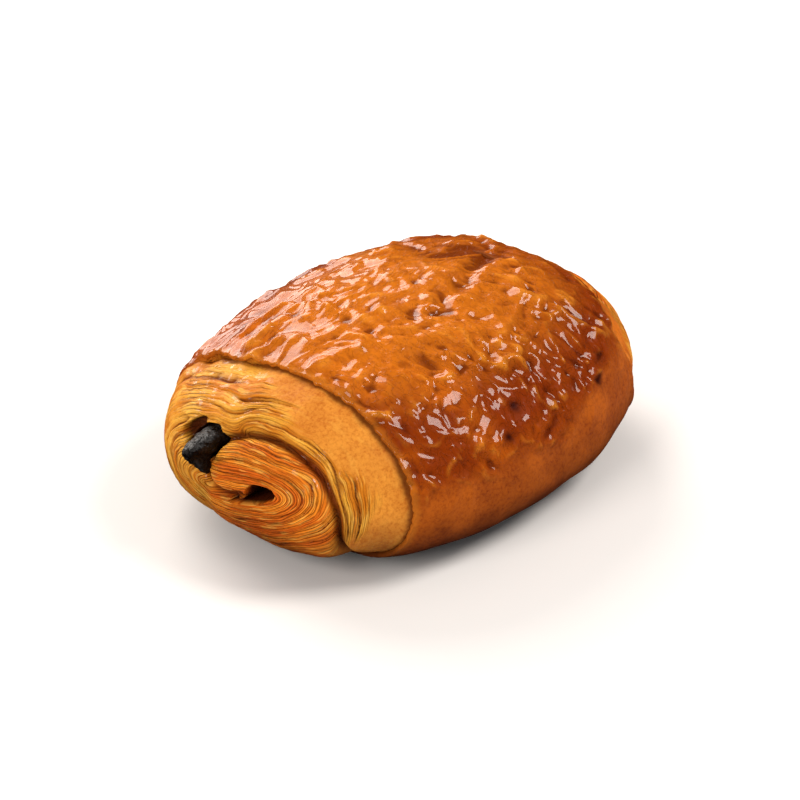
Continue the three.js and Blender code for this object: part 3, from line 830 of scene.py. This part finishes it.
# %% Glazed crust finish
def foil_lines(tree, size_mm):
    """Hair-thin folds, 1 on their crests, as wide apart as size_mm says for each axis."""
    scale = tuple(1000 / size for size in size_mm)
    place = add(tree, "ShaderNodeMapping", {"Vector": object_place(tree), "Scale": scale}).outputs[0]
    inputs = {"Vector": place, "Scale": 1.0, "Detail": 1.5, "Distortion": 0.6}
    level = maths(tree, "SUBTRACT", add(tree, "ShaderNodeTexNoise", inputs).outputs["Fac"], 0.5)
    return maths(tree, "SUBTRACT", 1.0, between(tree, maths(tree, "ABSOLUTE", level), 0.0, 0.07))


crust_finish, tree, shader = new_finish("glazed_crust")
glaze, crest, slope = attribute(tree, "glaze"), attribute(tree, "crest"), attribute(tree, "slope")
depth = between(tree, grain(tree, 14, detail=3), 0.38, 0.64)
film = blend(tree, depth, tone(134, 50, 3), tone(182, 86, 10))
place = add(tree, "ShaderNodeSeparateXYZ", {0: object_place(tree)})
# the far half painted darker: partly thicker film, partly painted shade
thicker_film_and_shade = maths(tree, "MULTIPLY", between(tree, place.outputs["X"], -25 * MM, 10 * MM), 0.75)
film = blend(tree, thicker_film_and_shade, film, tone(130, 45, 2))
# the top painted paler: partly thinner film, partly painted light
thin_film_and_light = maths(tree, "MULTIPLY", between(tree, place.outputs["Z"], 33 * MM, 43 * MM), 0.8)
film = blend(tree, thin_film_and_light, film, tone(214, 118, 22))
# crests painted lighter: partly thin golden film, partly painted highlight
film = blend(tree, maths(tree, "MULTIPLY", between(tree, crest, 0.4, 1.1), 0.7), film, tone(228, 140, 40))
# hollows painted darker: partly pooled glaze, partly painted shade
hollows = between(tree, crest, 0.12, -0.25)
film = blend(tree, maths(tree, "MULTIPLY", hollows, 0.75), film, tone(92, 28, 2))
mottling = between(tree, grain(tree, 2.2, detail=5, roughness=0.65), 0.42, 0.7)
film = blend(tree, maths(tree, "MULTIPLY", mottling, 0.4), film, tone(120, 42, 2))
dough = use_effect(tree, baked_dough, {"Pale": tone(178, 88, 20), "Brown": tone(108, 36, 6)})
colour = blend(tree, glaze, dough.outputs["Color"], film)
# the lip painted lighter: partly its thin pale edge, partly painted light on the lit edge
colour = blend(tree, maths(tree, "MULTIPLY", attribute(tree, "lip"), 0.6), colour, tone(216, 134, 40))
colour = blend(tree, attribute(tree, "caramel"), colour, tone(46, 6, 4))
colour = use_effect(tree, darker_towards_bottom, {"Color": colour}).outputs["Color"]
tree.links.new(colour, shader.inputs["Base Color"])
dull = maths(tree, "MULTIPLY", maths(tree, "SUBTRACT", 1.0, glaze), 0.2)
uneven = maths(tree, "MULTIPLY", grain(tree, 1.5), 0.3)
tree.links.new(maths(tree, "ADD", uneven, maths(tree, "ADD", dull, 0.25)), shader.inputs["Roughness"])
tree.links.new(maths(tree, "MULTIPLY", glaze, 0.6), shader.inputs["Coat Weight"])
shader.inputs["Coat Roughness"].default_value = 0.07
shader.inputs["Coat IOR"].default_value = 1.45
shader.inputs["Specular IOR Level"].default_value = 0.05
pores = bump(tree, grain(tree, 0.45, detail=2), 0.05)
lengthwise, downwards = foil_lines(tree, (3.6, 1.3, 1.6)), foil_lines(tree, (1.3, 2.6, 2.2))
lines = add(tree, "ShaderNodeMix", {0: slope, 2: lengthwise, 3: downwards}).outputs[0]
lines = maths(tree, "MULTIPLY", lines, glaze)
soft = bump(tree, grain(tree, 1.6, detail=2), 0.12, pores)
tree.links.new(bump(tree, lines, 0.12, soft), shader.inputs["Normal"])
crust.data.materials.append(crust_finish)
print(crust_finish.name, "is made of", len(tree.nodes), "nodes")

# %% [markdown]
# The ends were never glazed. The leaves are golden where they swell and brown in the gaps. The wider gaps and
# the seam's crease are painted darker still, partly browner dough and partly painted shade, and light golden
# streaks on the swells are painted highlights. The inner turn is more orange, and next to the crust lies a
# plain, pale, freckled band, darker and more orange at the far end. Here and there melted butter has left a
# shine. The finest gaps come from a sine of the leaf's number too, so they stay sharp at any distance.

# %% Laminated dough finish
end_finish, tree, shader = new_finish("laminated_dough")
leaf, plain, inner = attribute(tree, "leaf"), attribute(tree, "plain"), attribute(tree, "inner")
gap_brown_and_shade, pocket, lined = attribute(tree, "gap_brown_and_shade"), attribute(tree, "pocket"), attribute(tree, "lined")
shade, at_far_end = attribute(tree, "shade"), attribute(tree, "at_far_end")
where = add(tree, "ShaderNodeSeparateXYZ", {0: object_place(tree)})


def streaks(tree, leaves, along_mm, detail=2.0):
    """Noise in long streaks: so many leaves wide, and so many millimetres long."""
    x = maths(tree, "DIVIDE", leaf, leaves)
    y = maths(tree, "DIVIDE", where.outputs["Y"], along_mm * MM)
    z = maths(tree, "DIVIDE", where.outputs["Z"], along_mm * MM)
    vector = add(tree, "ShaderNodeCombineXYZ", {0: x, 1: y, 2: z}).outputs[0]
    return add(tree, "ShaderNodeTexNoise", {"Vector": vector, "Scale": 1.0, "Detail": detail}).outputs["Fac"]


def gaps(tree, leaves, wide, uneven):
    """1 in thin gaps that lie so many leaves apart, and 0 between them. They fade in and out with uneven."""
    phase = maths(tree, "ADD", maths(tree, "DIVIDE", leaf, leaves), maths(tree, "MULTIPLY", uneven, 1.6))
    wave = maths(tree, "ABSOLUTE", maths(tree, "SINE", maths(tree, "MULTIPLY", phase, math.pi)))
    gap = maths(tree, "SUBTRACT", 1.0, between(tree, wave, 0.0, wide))
    return maths(tree, "MULTIPLY", gap, between(tree, uneven, 0.25, 0.5))


single_gaps = gaps(tree, 1.0, 0.5, streaks(tree, 3.0, 9))
fine_gaps = gaps(tree, 0.6, 0.6, streaks(tree, 1.3, 5))
lines = maths(tree, "MAXIMUM", single_gaps, maths(tree, "MULTIPLY", fine_gaps, 0.55))
lines = maths(tree, "MULTIPLY", lines, maths(tree, "SUBTRACT", 1.0, maths(tree, "MULTIPLY", plain, 0.92)))
lines = maths(tree, "MULTIPLY", lines, maths(tree, "ADD", maths(tree, "MULTIPLY", lined, 0.75), 0.25))
bands = between(tree, streaks(tree, 3.0, 16), 0.35, 0.65)
golden = blend(tree, bands, tone(206, 120, 22), tone(234, 168, 56))
orange = blend(tree, bands, tone(216, 98, 12), tone(244, 142, 34))
leaves = blend(tree, inner, golden, orange)
pale = use_effect(tree, baked_dough, {"Pale": tone(222, 144, 52), "Brown": tone(176, 90, 20)})
# the far end's band is darker and more orange than the near end's
far_band = use_effect(tree, baked_dough, {"Pale": tone(212, 112, 22), "Brown": tone(146, 60, 6)})
band = blend(tree, at_far_end, pale.outputs["Color"], far_band.outputs["Color"])
colour = blend(tree, plain, leaves, band)
freckles = maths(tree, "MULTIPLY", pale.outputs["Freckles"], 0.35)
colour = blend(tree, freckles, colour, tone(176, 90, 16))
# painted highlight: light golden glints along the swells of the leaves
light = between(tree, streaks(tree, 1.1, 5), 0.52, 0.66)
light = maths(tree, "MULTIPLY", light, maths(tree, "SUBTRACT", 1.0, maths(tree, "MULTIPLY", plain, 0.8)))
colour = blend(tree, maths(tree, "MULTIPLY", light, 0.45), colour, tone(255, 200, 90))
colour = blend(tree, maths(tree, "MULTIPLY", lines, 0.72), colour, tone(132, 52, 3))
# the wider gaps and the seam's crease painted dark: partly browner dough, partly painted shade
colour = blend(tree, maths(tree, "MULTIPLY", between(tree, gap_brown_and_shade, 0.2, 1.0), 0.9), colour, tone(102, 36, 4))
colour = blend(tree, maths(tree, "MULTIPLY", shade, 0.8), colour, tone(100, 40, 6))
# painted shade: the pockets, the notch and the hollow darken with depth
colour = blend(tree, between(tree, pocket, 0.02, 0.3), colour, tone(72, 27, 6))
colour = use_effect(tree, darker_towards_bottom, {"Color": colour}).outputs["Color"]
tree.links.new(colour, shader.inputs["Base Color"])
butter = between(tree, grain(tree, 2.2, detail=3), 0.54, 0.62)
butter = maths(tree, "MULTIPLY", butter, maths(tree, "SUBTRACT", 1.0, plain))
tree.links.new(maths(tree, "MULTIPLY", butter, 0.5), shader.inputs["Coat Weight"])
shader.inputs["Coat Roughness"].default_value = 0.15
shader.inputs["Roughness"].default_value = 0.5
shader.inputs["Specular IOR Level"].default_value = 0.08
pores = bump(tree, grain(tree, 0.5, detail=3), 0.09)
tree.links.new(bump(tree, maths(tree, "SUBTRACT", 1.0, lines), 0.3, pores), shader.inputs["Normal"])
near_end.data.materials.append(end_finish)
far_end.data.materials.append(end_finish)
print(end_finish.name, "is made of", len(tree.nodes), "nodes")

# %% [markdown]
# Chocolate that has baked is nearly black and dry, with a fine pitted skin that glints where it is greasy.

# %% Chocolate finish
chocolate_finish, tree, shader = new_finish("dark_chocolate")
dusty = between(tree, grain(tree, 1.2, detail=4), 0.45, 0.7)
tree.links.new(blend(tree, dusty, tone(12, 8, 8), tone(30, 23, 22)), shader.inputs["Base Color"])
tree.links.new(maths(tree, "ADD", maths(tree, "MULTIPLY", dusty, 0.35), 0.28), shader.inputs["Roughness"])
shader.inputs["Specular IOR Level"].default_value = 0.5
pits = bump(tree, grain(tree, 0.35, detail=3, roughness=0.7), 0.22)
tree.links.new(bump(tree, grain(tree, 1.0, detail=3), 0.35, pits), shader.inputs["Normal"])
outer_bar.data.materials.append(chocolate_finish)
inner_bar.data.materials.append(chocolate_finish)
print(chocolate_finish.name, "is made of", len(tree.nodes), "nodes")

# %% [markdown]
# Each new piece rides on the one body and stands for a node of the solid model.

# %% Ride on the frame
for piece, node, slot in (
    (crust, "pastry", "crust"),
    (near_end, "pastry", "crust"),
    (far_end, "pastry", "crust"),
    (outer_bar, "chocolate_bar_outer", "chocolate"),
    (inner_bar, "chocolate_bar_inner", "chocolate"),
):
    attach(piece, "root")
    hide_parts(node)

# %% [markdown]
# Food is lit from behind, so that the gloss shows. A wide softbox low behind on the left gives the sheen, one
# high on the right gives the small lights, and one in front on the left opens the shadows. In a white room
# the crust would mirror white all over and lose its deep amber. So it mirrors the softboxes alone, as if the
# rest of the studio were dark.

# %% Studio
bm = bmesh.new()
bmesh.ops.create_grid(bm, x_segments=1, y_segments=1, size=3)
floor_mesh = bpy.data.meshes.new("floor")
bm.to_mesh(floor_mesh)
bm.free()
floor = bpy.data.objects.new("floor", floor_mesh)
floor.location.z = -0.0005
bpy.context.scene.collection.objects.link(floor)
floor.visible_glossy = False
floor_finish, tree, shader = new_finish("pale_floor")
shader.inputs["Base Color"].default_value = (0.86, 0.86, 0.86, 1)
shader.inputs["Roughness"].default_value = 0.7
floor_mesh.materials.append(floor_finish)

world = bpy.data.worlds.new("world")
bpy.context.scene.world = world
world.use_nodes = True
world.node_tree.nodes["Background"].inputs["Color"].default_value = (1, 1, 1, 1)
world.node_tree.nodes["Background"].inputs["Strength"].default_value = 0.32
world.cycles_visibility.glossy = False
bpy.context.scene.view_settings.view_transform = "Standard"


def softbox(name, place, size, watts):
    light = bpy.data.lights.new(name, "AREA")
    light.shape = "DISK"
    light.size = size
    light.energy = watts
    light.color = (1, 0.93, 0.86)
    lamp = bpy.data.objects.new(name, light)
    bpy.context.scene.collection.objects.link(lamp)
    lamp.location = place
    lamp.rotation_euler = (middle - lamp.location).to_track_quat("-Z", "Y").to_euler()


softbox("sheen", Vector((0.25, 0.75, 0.45)), 0.8, 10)
softbox("key", Vector((0.4, -0.45, 0.7)), 0.42, 6)
softbox("front", Vector((-0.8, 0.0, 0.5)), 0.5, 5)
